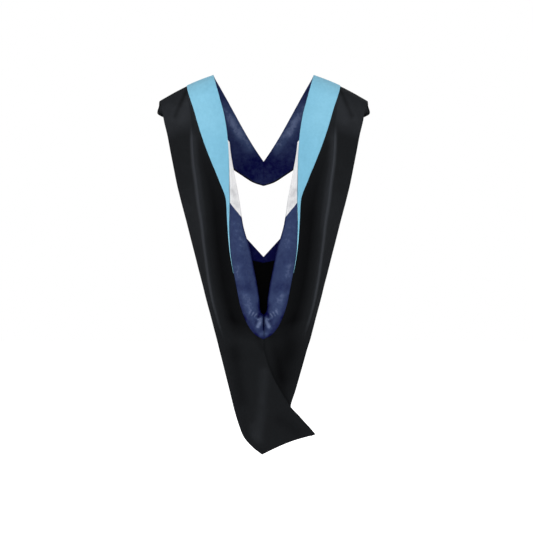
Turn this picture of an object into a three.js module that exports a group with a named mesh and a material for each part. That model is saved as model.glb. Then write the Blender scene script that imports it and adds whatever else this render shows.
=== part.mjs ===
// An academic hood in the form it takes when worn, seen from behind the wearer: a black shell whose two sides meet in a
// V at the front of the neck, run over the shoulders and hang down the back as a flattened bag that ends in a slanted
// tail. A velvet trim lies along the neckline, and the satin lining with its chevron is turned out round the long
// opening at the back.
//
// Millimetres, +Z up. +X is the wearer's right, +Y the way the wearer faces, so the back view looks along +Y. The origin
// is on the centre line, level with the two points where the neckline crosses the crest of the shoulders.
import * as THREE from "three";

// Widths, each measured from the centre line.
const neckHalfSpan = 122; // neckline on the shoulder crest
const shoulderHalfSpan = 256; // outer corner of the shoulder crest
const yokeHalfSpan = 263; // widest point of the front yoke, just in front of the crest
const cowlHalfSpan = 111; // outer fold, level with the bottom of the turned-out lining
const tailReach = 123; // the tail's far corner, past the centre line

// Heights, each measured down from the crest at the neckline unless it says otherwise.
const shoulderDrop = 63; // outer corner of the crest
const frontDip = 201; // point of the V at the front of the neck
const frontBandHeight = 65; // yoke below that point, at the centre
const notchDepth = 446; // point of the V in the layer against the wearer's back
const openingDepth = 584; // bottom of the long opening between the turned-out linings
const gatherHeight = 59; // gathered lining below that opening
const tailLength = 273; // lowest point of the tail, below the turned-out lining
const shoulderBow = 5; // how far the crest arches above a straight line

// Depths towards the wearer's front and back, from the crest.
const frontDepth = 95; // yoke at the centre front
const backDepth = 92; // outer layer hanging behind the back
const wrapDepth = 20; // how far the outer edge curves round the shoulder
const bagBelly = 13; // extra depth of the bag at the centre line
const tuckDepth = 5; // how far the right side passes behind the left side at the tail

// Cloth.
const shellWall = 1.8;
const trimWall = 1.4;
const liningWall = 1.2;
const layerGap = 0.4; // between one cloth and the next
const liningLag = 1.0; // extra slack between shell and lining down the back
const liningInset = 1.5; // lining stops this far short of the shell's outer fold
const bareWidth = 26; // width left without lining inside the corner of the shoulder
const seamGap = 0.6; // between the two sides, at the centre seams
const seamClear = 0.4; // each piece of lining stops this far short of its slanting seam
const seamSetback = 1.2; // turned-out lining starts this far inside the neckline
const neckTurn = 3; // shell stops this far short of the neckline, under the trim

// Trim, turned-out lining, facing and folds.
const trimWidth = 72;
const rollStand = 9; // how far the turned-out lining stands off the shell
const rollSink = 9; // how far it curls in behind the opening's edge
const rollFull = 40; // turned-out lining this wide or wider stands off and sinks fully
const rollLeast = 0.8; // least width of the turned-out lining, where it begins
const sinkFade = 30; // behind the opening's edge the lining comes back to the shell over about this distance
const chevronHeight = 153; // chevron measured down the neckline
const chevronTop = 165; // where the chevron starts on the neckline
const chevronSlope = 1.2; // drop of the chevron for each millimetre across the lining
const facingWidth = 50; // navy facing beside the notch, across
const facingDrop = 14; // facing below the point of the notch
const hemReturn = 0.5; // shell turned in at the yoke's edge
const yokeFold = 1; // radius of that turn
const backFold = 7; // radius of the bag's outer folds
const creaseHeight = 7; // long crease standing off the back of each side
const hollowDepth = 4; // hollow between that crease and the trim
const underlap = 12; // shell of the right side behind the edge of the left side
const underInset = 3; // right side's fold behind the left side's edge, at the tail
const hemBow = 12; // how far the tail's hem curves up

const cowlDepth = openingDepth + gatherHeight;

const table = (names, rows) =>
  rows.map((row) => Object.fromEntries(names.map((name, i) => [name, row[i]])));

// Front yoke, from the centre front to the crest. neckX is a share of neckHalfSpan, neckDrop of frontDip, edgeX of
// yokeHalfSpan, edgeDrop of frontDip + frontBandHeight, neckY and edgeY are shares of frontDepth, and bare is a share of
// bareWidth.
const yokeSections = table(
  ["neckX", "neckDrop", "neckY", "edgeX", "edgeDrop", "edgeY", "bare"],
  [
    [0.0, 1.0, 1.0, 0.0, 1.0, 0.95, 0.06],
    [0.066, 0.936, 0.98, 0.091, 0.972, 0.92, 0.06],
    [0.164, 0.843, 0.94, 0.228, 0.889, 0.83, 0.08],
    [0.304, 0.709, 0.875, 0.399, 0.772, 0.75, 0.1],
    [0.451, 0.564, 0.79, 0.57, 0.652, 0.69, 0.2],
    [0.615, 0.399, 0.7, 0.741, 0.532, 0.64, 0.45],
    [0.779, 0.232, 0.58, 0.893, 0.402, 0.55, 0.85],
    [0.902, 0.104, 0.44, 1.0, 0.337, 0.37, 1.0],
    [0.975, 0.028, 0.25, 0.98, 0.275, 0.17, 1.0],
  ],
);

// Back, from the crest to the bottom of the turned-out lining. neckX is a share of neckHalfSpan, neckDrop and edgeDrop
// of cowlDepth, edgeX of the way from cowlHalfSpan to shoulderHalfSpan, depth of backDepth, wrap of wrapDepth, trim of
// trimWidth, rollX of neckHalfSpan, rollDrop of openingDepth, fold of backFold, crease of the plain cloth's width, counted
// from the outer edge, relief of creaseHeight and hollowDepth, inner of the way from the edge to the centre line,
// innerDrop of notchDepth, and once that is 1, lower of the way on to cowlDepth. puff is a share of rollStand: the
// turned-out lining is gathered at the bottom, into a pinch on the centre line with a puff on each side.
const backSections = table(
  [
    "neckX", "neckDrop", "edgeX", "edgeDrop", "depth", "wrap", "trim", "rollX", "rollDrop",
    "fold", "crease", "relief", "inner", "innerDrop", "lower", "tuck", "puff",
  ],
  [
    [1.0, 0.0, 1.0, 0.0, 0.0, 0.0, 1.0, 0, 0, 0.29, 0.9, 0.0, 0.01, 0.14, 0, 0, 1.0],
    [0.98, 0.016, 0.961, 0.016, 0.34, 0.1, 1.0, 0, 0, 0.29, 0.9, 0.05, 0.01, 0.163, 0, 0, 1.0],
    [0.93, 0.05, 0.926, 0.047, 0.54, 0.3, 0.982, 0, 0, 0.36, 0.9, 0.15, 0.015, 0.208, 0, 0, 1.0],
    [0.857, 0.101, 0.902, 0.086, 0.65, 0.6, 0.945, 0, 0, 0.5, 0.86, 0.4, 0.03, 0.263, 0, 0, 1.0],
    [0.772, 0.163, 0.846, 0.148, 0.78, 0.85, 0.924, 0, 0, 0.71, 0.772, 0.7, 0.075, 0.353, 0, 0, 1.0],
    [0.713, 0.233, 0.799, 0.213, 0.89, 1.0, 0.824, 0.695, 0.257, 0.86, 0.628, 0.9, 0.145, 0.446, 0, 0, 1.0],
    [0.681, 0.311, 0.743, 0.286, 0.96, 1.0, 0.63, 0.638, 0.342, 1.0, 0.5, 1.0, 0.24, 0.551, 0, 0, 1.0],
    [0.672, 0.397, 0.684, 0.358, 0.99, 0.95, 0.355, 0.561, 0.436, 1.0, 0.418, 1.0, 0.36, 0.654, 0, 0, 1.0],
    [0.664, 0.485, 0.61, 0.432, 1.0, 0.85, 0.075, 0.47, 0.534, 1.0, 0.338, 1.0, 0.507, 0.761, 0, 0, 1.0],
    [0.672, 0.572, 0.523, 0.512, 1.0, 0.7, 0.06, 0.386, 0.63, 1.0, 0.328, 1.0, 0.713, 0.868, 0, 0, 1.0],
    [0.655, 0.662, 0.432, 0.599, 1.0, 0.55, 0.035, 0.26, 0.736, 1.0, 0.28, 1.0, 1.0, 1.0, 0, 0, 1.0],
    [0.606, 0.731, 0.374, 0.65, 1.0, 0.4, 0.028, 0.197, 0.805, 1.0, 0.242, 1.0, 1.0, 1.0, 0.17, 0, 1.0],
    [0.538, 0.801, 0.306, 0.715, 1.0, 0.3, 0.025, 0.126, 0.88, 1.0, 0.192, 1.0, 1.0, 1.0, 0.385, 0, 1.1],
    [0.471, 0.865, 0.242, 0.773, 0.995, 0.2, 0.02, 0.086, 0.938, 1.0, 0.152, 0.8, 1.0, 1.0, 0.58, 0, 1.0],
    [0.377, 0.919, 0.183, 0.83, 0.99, 0.12, 0.02, 0.107, 0.969, 1.0, 0.12, 0.6, 1.0, 1.0, 0.75, 0.2, 0.7],
    [0.27, 0.958, 0.106, 0.9, 0.99, 0.06, 0.02, 0.094, 0.985, 1.0, 0.1, 0.4, 1.0, 1.0, 0.862, 0.4, 1.25],
    [0.148, 0.984, 0.048, 0.955, 0.98, 0.02, 0.02, 0.053, 0.995, 1.0, 0.1, 0.3, 1.0, 1.0, 0.94, 0.55, 1.35],
    [0.0, 1.0, 0.0, 1.0, 0.98, 0.0, 0.02, 0.0, 1.0, 1.0, 0.1, 0.2, 1.0, 1.0, 1.0, 0.7, 0.35],
  ],
);

// Tail, below the turned-out lining. Drops are shares of tailLength. leftX and rightX are the outer folds as shares of
// cowlHalfSpan, and once the right one is 0 it follows the left side's edge. crossX is the left side's free edge as a
// share of tailReach. depth is a share of backDepth, fold of backFold, tuck and edgeTuck of tuckDepth, bow of hemBow and
// belly of bagBelly.
const tailSections = table(
  [
    "leftX", "leftDrop", "crossX", "crossDrop", "rightX", "rightDrop", "depth", "fold", "tuck",
    "edgeTuck", "bow", "belly",
  ],
  [
    [0.951, 0.083, 0.004, 0.08, 0.935, 0.083, 0.975, 1.0, 1.0, 0.0, 0.0, 0.9],
    [0.896, 0.17, 0.056, 0.17, 0.875, 0.17, 0.97, 0.97, 1.0, 0.0, 0.0, 0.75],
    [0.813, 0.304, 0.162, 0.304, 0.78, 0.304, 0.965, 0.93, 1.0, 0.0, 0.0, 0.55],
    [0.721, 0.452, 0.308, 0.43, 0.684, 0.441, 0.96, 0.86, 1.0, 0.3, 0.1, 0.36],
    [0.618, 0.622, 0.525, 0.586, 0, 0, 0.955, 0.79, 0.9, 0.9, 0.3, 0.2],
    [0.528, 0.741, 0.664, 0.655, 0, 0, 0.95, 0.71, 0.8, 0.8, 0.55, 0.1],
    [0.427, 0.843, 0.798, 0.722, 0, 0, 0.945, 0.64, 0.7, 0.7, 0.8, 0.05],
    [0.222, 0.939, 0.917, 0.781, 0, 0, 0.94, 0.57, 0.6, 0.6, 0.95, 0.02],
    [0.029, 1.0, 1.0, 0.818, 0, 0, 0.935, 0.5, 0.55, 0.55, 1.0, 0.0],
  ],
);

const point = (x, y, z) => new THREE.Vector3(x, y, z);
const between = (a, b, share) => a.clone().lerp(b, share);
const towards = (a, b) => b.clone().sub(a).normalize();
const shifted = (a, direction, distance) => a.clone().addScaledVector(direction, distance);

const firstBack = yokeSections.length; // station of the crest
const lastBack = firstBack + backSections.length - 1; // station of the bottom of the turned-out lining
const firstRoll = firstBack + backSections.findIndex((row) => row.rollX > 0);
const notchStation = firstBack + backSections.findIndex((row) => row.innerDrop === 1);

// Sections of one side, all drawn on the wearer's left, where x is negative. Each has the neckline point, the outermost
// point of its fold, and the end of the layer against the wearer's back.
function yokeSection(row) {
  const neck = point(
    -neckHalfSpan * row.neckX - seamGap / 2,
    frontDepth * row.neckY,
    -frontDip * row.neckDrop,
  );
  const edge = point(
    -yokeHalfSpan * row.edgeX - seamGap / 2,
    frontDepth * row.edgeY,
    -(frontDip + frontBandHeight) * row.edgeDrop,
  );
  return { neck, edge, trim: trimWidth, fold: yokeFold, crease: 0.9, relief: 0, inner: null,
    wrap: 0, bow: 0, arch: 0.8 * row.neckX ** 4, tuck: 0, edgeTuck: 0, lag: 0, bare: bareWidth * row.bare };
}

function backSection(row, index) {
  const y = -backDepth * row.depth;
  const neck = point(-neckHalfSpan * row.neckX - seamGap / 2, y, -cowlDepth * row.neckDrop);
  const edgeX = cowlHalfSpan + (shoulderHalfSpan - cowlHalfSpan) * row.edgeX;
  const edge = point(-edgeX, y, -shoulderDrop - (cowlDepth - shoulderDrop) * row.edgeDrop);
  const innerZ = -notchDepth * row.innerDrop - (cowlDepth - notchDepth) * row.lower;
  const innerX = -edgeX * (1 - row.inner) - seamGap / 2;
  const roll = point(-neckHalfSpan * row.rollX - seamGap / 2, y, -openingDepth * row.rollDrop);
  const bellyShare = Math.max(0, (row.inner - 0.2) / 0.8);
  const shift = bagBelly * bellyShare - row.wrap * wrapDepth * (1 - (1 - row.inner) ** 2);
  return { neck, edge, roll: row.rollX > 0 || row.rollDrop === 1 ? roll : null,
    trim: trimWidth * row.trim, fold: backFold * row.fold, crease: row.crease, relief: row.relief,
    puff: row.puff, inner: { x: innerX, z: innerZ, shift }, wrap: row.wrap * wrapDepth, bow: 0,
    arch: Math.max(0, 1 - index / 4) ** 2, tuck: row.tuck * tuckDepth, edgeTuck: 0,
    lag: liningLag * Math.min(1, index / 4), bare: bareWidth * Math.max(0, 1 - index / 3) };
}

function tailSection(row, side) {
  const y = -backDepth * row.depth;
  const left = point(-cowlHalfSpan * row.leftX, y, -cowlDepth - tailLength * row.leftDrop);
  const cross = point(tailReach * row.crossX, y, -cowlDepth - tailLength * row.crossDrop);
  const inwards = towards(cross, left);
  const right = row.rightX > 0
    ? point(cowlHalfSpan * row.rightX, y, -cowlDepth - tailLength * row.rightDrop)
    : shifted(cross, inwards, underInset);
  const middle = between(left, right, 0.5);
  const common = { trim: 0.02 * trimWidth, crease: 0.1, relief: 0, wrap: 0, arch: 0, lag: liningLag, bare: 0 };
  if (side === "left") {
    return { ...common, neck: cross, edge: left, fold: backFold * row.fold, tuck: 0, edgeTuck: 0,
      bow: row.bow * hemBow,
      inner: { x: middle.x - seamGap / 2, z: middle.z, shift: bagBelly * row.belly } };
  }
  const mirror = (p) => point(-p.x, p.y, p.z);
  const under = shifted(cross, inwards, underlap);
  const edgeTuck = row.edgeTuck * tuckDepth;
  return { ...common, neck: mirror(under), edge: mirror(right), fold: backFold * row.fold - edgeTuck / 2,
    tuck: row.tuck * tuckDepth, edgeTuck, bow: 0,
    inner: { x: -middle.x - seamGap / 2, z: middle.z, shift: bagBelly * row.belly } };
}

function sectionsOf(side) {
  return [
    ...yokeSections.map(yokeSection),
    ...backSections.map((row, index) => {
      const made = backSection(row, index);
      return side === "left" ? { ...made, tuck: 0 } : made;
    }),
    ...tailSections.map((row) => tailSection(row, side)),
  ];
}

// Surface normal at each point of a grid, from its neighbours. On the centre lines it keeps to the plane of symmetry.
function normalsOf(grid) {
  return grid.map((row, i) =>
    row.map((p, j) => {
      const along = grid[Math.min(i + 1, grid.length - 1)][j].clone().sub(grid[Math.max(i - 1, 0)][j]);
      const across = row[Math.min(j + 1, row.length - 1)].clone().sub(row[Math.max(j - 1, 0)]);
      const normal = across.cross(along);
      if (i === 0) normal.x = 0;
      return normal.normalize();
    }),
  );
}

const columnNames = ["neck", "trimThird", "trimTwoThirds", "trimEdge", "flat", "hollow", "crease",
  "flank", "liningEnd", "edge"];
const columns = Object.fromEntries(columnNames.map((name, j) => [name, j]));
const foldSteps = 4;
const innerSteps = 4;

// The shell's middle surface: from the neckline to the outer edge, as distances along each section.
function spread(section) {
  const run = section.edge.distanceTo(section.neck) - section.fold;
  const trim = Math.min(section.trim, 0.97 * run);
  const plain = run - trim;
  const crest = trim + (1 - section.crease) * plain;
  const liningEnd = Math.max(run - liningInset - section.bare, (crest + run) / 2);
  return [0, trim / 3, (2 * trim) / 3, trim,
    ...[0.45, 0.8, 1].map((share) => trim + share * (crest - trim)),
    (crest + liningEnd) / 2, liningEnd, run];
}

// Height of the long crease and the hollow beside it, at each of those distances.
const reliefShares = [0, 0, -0.1, -0.5, -1, -0.2, 1, 0.1, 0, 0];

function outerRow(section) {
  const direction = towards(section.neck, section.edge);
  const distances = spread(section);
  const run = distances[columns.edge];
  return distances.map((distance, j) => {
    const share = distance / run;
    const p = shifted(section.neck, direction, distance);
    const relief = reliefShares[j] * (reliefShares[j] > 0 ? creaseHeight : hollowDepth);
    p.y += section.wrap * share * share - section.relief * relief;
    p.y += section.tuck + (section.edgeTuck - section.tuck) * share;
    p.z += (section.arch * shoulderBow + section.bow) * Math.sin(Math.PI * share);
    return p;
  });
}

// The fold round the outer edge, and the layer against the wearer's back.
function innerRow(section, row, normal) {
  const edge = row[columns.edge];
  const outwards = towards(row[columns.liningEnd], edge);
  const centre = shifted(edge, normal, -section.fold);
  const turned = Array.from({ length: foldSteps }, (_, k) => {
    const angle = (Math.PI * (k + 1)) / foldSteps;
    return shifted(shifted(centre, normal, section.fold * Math.cos(angle)), outwards,
      section.fold * Math.sin(angle));
  });
  const start = turned[foldSteps - 1];
  const end = section.inner
    ? point(section.inner.x, start.y + section.inner.shift, section.inner.z)
    : shifted(start, outwards, -hemReturn);
  const plain = Math.max(0.3, 1 - facingWidth / end.distanceTo(start));
  const shares = [plain / 3, (2 * plain) / 3, plain, 1];
  return [...turned, ...shares.map((share) => between(start, end, share))];
}

// A closed sheet of the given wall round a grid of middle points, mirrored to the wearer's right if asked.
function sheet(grid, normals, wall, mirrored) {
  const rows = grid.length;
  const width = grid[0].length;
  const positions = [];
  [0.5, -0.5].forEach((half) =>
    grid.forEach((row, i) =>
      row.forEach((p, j) => {
        const q = shifted(p, normals[i][j], half * wall);
        positions.push(mirrored ? -q.x : q.x, q.y, q.z);
      }),
    ),
  );
  const outer = (i, j) => i * width + j;
  const inner = (i, j) => rows * width + outer(i, j);
  const index = [];
  const quad = (a, b, c, d) => {
    if (mirrored) index.push(a, c, b, a, d, c);
    else index.push(a, b, c, a, c, d);
  };
  for (let i = 0; i + 1 < rows; i++) {
    for (let j = 0; j + 1 < width; j++) {
      quad(outer(i, j), outer(i, j + 1), outer(i + 1, j + 1), outer(i + 1, j));
      quad(inner(i, j), inner(i + 1, j), inner(i + 1, j + 1), inner(i, j + 1));
    }
    quad(outer(i, 0), outer(i + 1, 0), inner(i + 1, 0), inner(i, 0));
    quad(outer(i + 1, width - 1), outer(i, width - 1), inner(i, width - 1), inner(i + 1, width - 1));
  }
  for (let j = 0; j + 1 < width; j++) {
    quad(outer(0, j + 1), outer(0, j), inner(0, j), inner(0, j + 1));
    quad(outer(rows - 1, j), outer(rows - 1, j + 1), inner(rows - 1, j + 1), inner(rows - 1, j));
  }
  const geometry = new THREE.BufferGeometry();
  geometry.setAttribute("position", new THREE.Float32BufferAttribute(positions, 3));
  geometry.setIndex(index);
  geometry.computeVertexNormals();
  return geometry;
}

const transposed = (grid) => grid[0].map((_, j) => grid.map((row) => row[j]));

const lifted = (grid, normals, height) =>
  grid.map((row, i) => row.map((p, j) => shifted(p, normals[i][j], height(i, j))));

const part = (rows, from, to) => rows.map((row) => row.slice(from, to + 1));

// One side's middle surface: the outer columns, then the fold and the inner columns.
function sideSurface(side) {
  const sections = sectionsOf(side);
  const outer = sections.map(outerRow);
  const outerNormals = normalsOf(outer);
  const whole = outer.map((row, i) => [...row, ...innerRow(sections[i], row, outerNormals[i][columns.edge])]);
  return { sections, outer, outerNormals, whole };
}

function shellGeometry(surface, mirrored) {
  const grid = surface.whole.map((row, i) => {
    const turn = Math.min(neckTurn, row[0].distanceTo(row[1]) / 2);
    const start = i >= lastBack ? row[0] : shifted(row[0], towards(row[0], row[1]), turn);
    return [start, ...row.slice(1)];
  });
  return sheet(grid, normalsOf(grid), shellWall, mirrored);
}

// Velvet on the shell, from the centre front to where the turned-out lining covers it.
function trimGeometry(surface, mirrored) {
  const last = firstBack + backSections.findIndex((row) => row.trim < 0.03);
  const grid = part(surface.outer.slice(0, last + 1), columns.neck, columns.trimEdge);
  const normals = part(surface.outerNormals.slice(0, last + 1), columns.neck, columns.trimEdge);
  const height = shellWall / 2 + layerGap + trimWall / 2;
  return sheet(lifted(grid, normals, () => height), normals, trimWall, mirrored);
}

// The lining's middle line at one section, with how far each point is from the trim's seam across the cloth. Where the
// lining is turned out it starts beside the trim, stands off the shell, curls round the opening's edge and goes back
// under the shell. The other sections have only the stretch under the shell.
const rollPoints = 6;
const joinSteps = 4; // rows between the plain lining and the chevron
const chevronSteps = 7;
const cowlSteps = 16;

function liningRow(surface, i) {
  const section = surface.sections[i];
  const row = surface.outer[i];
  const normals = surface.outerNormals[i];
  const depth = shellWall / 2 + layerGap + liningWall / 2 + section.lag;
  const facing = normals[columns.neck].clone();
  if (i === lastBack) facing.x = 0;
  const roll = section.roll;
  const width = roll ? Math.hypot(roll.x - section.neck.x, roll.z - section.neck.z) : 0;
  const full = Math.min(1, width / rollFull);
  const sink = depth + (rollSink - depth) * full;
  const mean = normals.reduce((sum, n) => sum.add(n), point(0, 0, 0)).normalize();
  const under = row.slice(0, columns.liningEnd + 1).map((p, j) => {
    const near = roll ? Math.exp(-row[0].distanceTo(p) / sinkFade) : 0;
    const direction = roll ? mean : normals[j];
    return shifted(p, direction, -depth - (0.7 * sink - 0.7 * depth) * near);
  });
  const acrossFrom = (start) => row.slice(0, columns.liningEnd + 1).map((p) => start + 0.5 * row[0].distanceTo(p));
  if (!roll) return { points: under, across: acrossFrom(0) };
  const inwards = point(roll.x - section.neck.x, 0, roll.z - section.neck.z).normalize();
  const seamHeight = shellWall / 2 + layerGap + liningWall / 2;
  const stand = rollStand * section.puff;
  const lip = seamHeight * (1 - full) * 0.5 + 0.5 * stand * full;
  const radius = (lip + sink) / 2;
  const reach = Math.max(width - radius, rollLeast);
  const at = (distance, height) => shifted(shifted(row[0], inwards, distance), facing, height);
  const crown = seamHeight + stand * full;
  const front = [at(Math.min(seamSetback, 0.3 * reach), seamHeight), at(0.5 * reach, crown), at(reach, lip)];
  const curl = [0.25, 0.5, 0.75].map((share) => {
    const angle = Math.PI * share;
    return at(reach + radius * Math.sin(angle), (lip - sink) / 2 + radius * Math.cos(angle));
  });
  const back = at(reach, -sink);
  const far = reach + radius;
  const curlStart = reach + radius * Math.SQRT1_2;
  return {
    points: [...front, ...curl, back, ...under],
    across: [0, 0.5 * reach, reach, curlStart, far, far, 1.1 * far, ...acrossFrom(1.15 * far)],
  };
}

// The station, counted in sections, where a column of the lining meets a slanting seam that leaves the neckline at drop.
function seamStation(lining, column, drop) {
  const height = ({ points, across }) => points[column].z + drop + chevronSlope * across[column];
  for (let i = firstRoll; i < lastBack; i++) {
    const before = height(lining[i]);
    const after = height(lining[i + 1]);
    if (after <= 0) return i + Math.max(0, before / (before - after));
  }
  return lastBack - 1;
}

const rowAt = (rows, station, column) => {
  const i = Math.min(Math.floor(station), rows.length - 2);
  return between(rows[i].points[column], rows[i + 1].points[column], station - i);
};

// The lining of one side as three pieces that meet at the two slanting seams: under the yoke, the chevron, and the rest
// round the opening. All share one set of normals, so that the walls are parallel where they meet.
function liningGeometries(surface, mirrored) {
  const lining = surface.sections.slice(0, lastBack + 1).map((_, i) => liningRow(surface, i));
  const seams = [chevronTop, chevronTop + chevronHeight].map((drop) =>
    lining[lastBack].points.map((_, column) => seamStation(lining, column, drop)),
  );
  const stretch = (column, from, to, steps) =>
    Array.from({ length: steps }, (_, k) =>
      rowAt(lining, from + ((to - from) * (k + 1)) / steps, column),
    );
  const columnOf = (column) => {
    const [top, bottom] = [seams[0][column], seams[1][column]];
    const start = rowAt(lining, top, column);
    return [start, ...stretch(column, top, bottom, chevronSteps),
      ...stretch(column, bottom, lastBack, cowlSteps)];
  };
  const turnedOut = transposed(lining[lastBack].points.map((_, column) => columnOf(column)));
  const under = turnedOut[0].map((_, column) => column).slice(rollPoints + 1);
  const above = lining.slice(0, firstRoll).map(({ points }) => points);
  const joining = transposed(under.map((column) => [
    lining[firstRoll].points[column],
    ...stretch(column, firstRoll, seams[0][column], joinSteps),
  ]));
  const underWhole = [...above, ...joining, ...turnedOut.slice(1).map((row) => row.slice(rollPoints + 1))];
  const underNormals = normalsOf(underWhole);
  const turnedNormals = normalsOf(turnedOut);
  turnedNormals[0] = [...turnedNormals[0].slice(0, rollPoints + 1),
    ...underNormals[above.length + joinSteps]];
  turnedNormals.at(-1).forEach((normal) => normal.setX(0).normalize());

  const upperRows = above.length + joinSteps + 1;
  const shortened = (grid) => [
    ...grid.slice(0, -1),
    grid.at(-1).map((p, j) => shifted(p, towards(p, grid.at(-2)[j]), seamClear)),
  ];
  const cut = (grid, normals, from, to, atStart, atEnd) => {
    let rows = grid.slice(from, to);
    if (atEnd) rows = shortened(rows);
    if (atStart) rows = shortened(rows.reverse()).reverse();
    return sheet(rows, normals.slice(from, to), liningWall, mirrored);
  };
  return {
    upper: cut(underWhole, underNormals, 0, upperRows, false, true),
    chevron: cut(turnedOut, turnedNormals, 0, chevronSteps + 1, true, true),
    lower: cut(turnedOut, turnedNormals, chevronSteps, turnedOut.length, true, false),
  };
}

// Facing on the outer side of the inner layer, beside the notch and across its point.
function facingGeometry(surface, mirrored) {
  const start = columns.edge + foldSteps + innerSteps - 1;
  const first = firstRoll;
  const rows = surface.whole.slice(first, notchStation + 1).map((row) => row.slice(start - 1, start + 2));
  const below = surface.whole[notchStation + 1].slice(start - 1, start + 2);
  const drop = facingDrop / rows.at(-1)[2].distanceTo(below[2]);
  const grid = [...rows, rows.at(-1).map((p, j) => between(p, below[j], drop))].map((row) => [row[1], row[2]]);
  const normals = normalsOf(grid);
  const height = shellWall / 2 + layerGap + liningWall / 2;
  return sheet(lifted(grid, normals, () => -height), normals, liningWall, mirrored);
}

const black = new THREE.MeshStandardMaterial({ color: 0x15161a, roughness: 0.9, metalness: 0 });
const sky = new THREE.MeshStandardMaterial({ color: 0x82c4e0, roughness: 0.95, metalness: 0 });
const navy = new THREE.MeshStandardMaterial({ color: 0x1c2a5e, roughness: 0.4, metalness: 0 });
const white = new THREE.MeshStandardMaterial({ color: 0xe4e4e6, roughness: 0.4, metalness: 0 });

const hood = new THREE.Group();
for (const side of ["left", "right"]) {
  const mirrored = side === "right";
  const surface = sideSurface(side);
  const lining = liningGeometries(surface, mirrored);
  const pieces = [
    ["shell", shellGeometry(surface, mirrored), black],
    ["trim", trimGeometry(surface, mirrored), sky],
    ["yoke_lining", lining.upper, navy],
    ["chevron", lining.chevron, white],
    ["cowl_lining", lining.lower, navy],
    ["notch_facing", facingGeometry(surface, mirrored), navy],
  ];
  for (const [name, geometry, material] of pieces) {
    const piece = new THREE.Mesh(geometry, material);
    piece.name = `${name}_${side}`;
    hood.add(piece);
  }
}

export default hood;
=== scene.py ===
"""An academic hood in worn form, seen from behind the wearer.

It has a black shell, a velvet trim and a turned-out satin lining. Every surface is a grid of points worked
out in millimetres, from sizes and tables like those of the solids. A few of them follow the photo more
closely. Rows follow the band from the front of the neck to the tail, and columns run from the neckline
outwards.
"""

import bpy
import numpy as np
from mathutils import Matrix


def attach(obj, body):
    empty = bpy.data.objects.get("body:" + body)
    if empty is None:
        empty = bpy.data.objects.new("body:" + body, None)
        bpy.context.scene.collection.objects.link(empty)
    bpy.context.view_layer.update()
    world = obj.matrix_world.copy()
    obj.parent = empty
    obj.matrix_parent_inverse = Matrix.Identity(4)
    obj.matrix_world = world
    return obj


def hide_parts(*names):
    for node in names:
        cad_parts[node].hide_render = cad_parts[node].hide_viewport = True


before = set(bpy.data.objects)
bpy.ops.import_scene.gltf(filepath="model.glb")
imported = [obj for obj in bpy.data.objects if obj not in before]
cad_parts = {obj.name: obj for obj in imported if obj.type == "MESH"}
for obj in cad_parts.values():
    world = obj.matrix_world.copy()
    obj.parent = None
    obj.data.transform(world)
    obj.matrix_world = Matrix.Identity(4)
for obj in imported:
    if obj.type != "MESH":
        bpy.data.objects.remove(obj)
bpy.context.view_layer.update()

# Widths, each measured from the centre line.
NECK_HALF_SPAN = 122.0  # neckline on the shoulder crest
SHOULDER_HALF_SPAN = 256.0  # outer corner of the shoulder crest
YOKE_HALF_SPAN = 263.0  # widest point of the front yoke, just in front of the crest
COWL_HALF_SPAN = 111.0  # outer fold, level with the bottom of the turned-out lining
TAIL_REACH = 125.0  # the tail's far corner, past the centre line

# Heights.
SHOULDER_DROP = 63.0  # outer corner of the crest
FRONT_DIP = 204.0  # point of the V at the front of the neck
FRONT_BAND_HEIGHT = 60.5  # yoke below that point, at the centre
NOTCH_DEPTH = 444.5  # point of the V in the layer against the wearer's back
OPENING_DEPTH = 584.0  # bottom of the long opening between the turned-out linings
GATHER_HEIGHT = 59.0  # gathered lining below that opening
TAIL_LENGTH = 275.0  # lowest point of the tail, below the turned-out lining
SHOULDER_BOW = 5.0  # how far the crest arches above a straight line
COWL_DEPTH = OPENING_DEPTH + GATHER_HEIGHT
BAND_BOTTOM = FRONT_DIP + FRONT_BAND_HEIGHT

# Depths.
FRONT_DEPTH = 95.0  # yoke at the centre front
BACK_DEPTH = 92.0  # outer layer hanging behind the back
WRAP_DEPTH = 20.0  # how far the outer edge curves round the shoulder
BAG_BELLY = 13.0  # extra depth of the bag at the centre line
CREST_DEPTH = 12.0  # this far behind the crest, folds and marks of the back are at full strength
TUCK_DEPTH = 5.0  # how far the right side passes behind the left side at the tail

# Cloth.
SHELL_WALL = 1.8
TRIM_WALL = 1.4
LINING_WALL = 1.2
LAYER_GAP = 0.4  # between one cloth and the next
LINING_LAG = 1.0  # extra slack between shell and lining down the back
LINING_INSET = 1.5  # lining stops this far short of the shell's outer fold
BARE_WIDTH = 26.0  # width left without lining inside the corner of the shoulder
SEAM_CLEAR = 0.02  # each piece of lining stops this far short of its slanting seam
SEAM_SETBACK = 1.2  # turned-out lining starts this far inside the neckline
NECK_TURN = 3.0  # shell stops this far short of the neckline, under the trim
TRIM_HEIGHT = SHELL_WALL / 2 + LAYER_GAP + TRIM_WALL / 2
LINING_HEIGHT = SHELL_WALL / 2 + LAYER_GAP + LINING_WALL / 2

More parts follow.
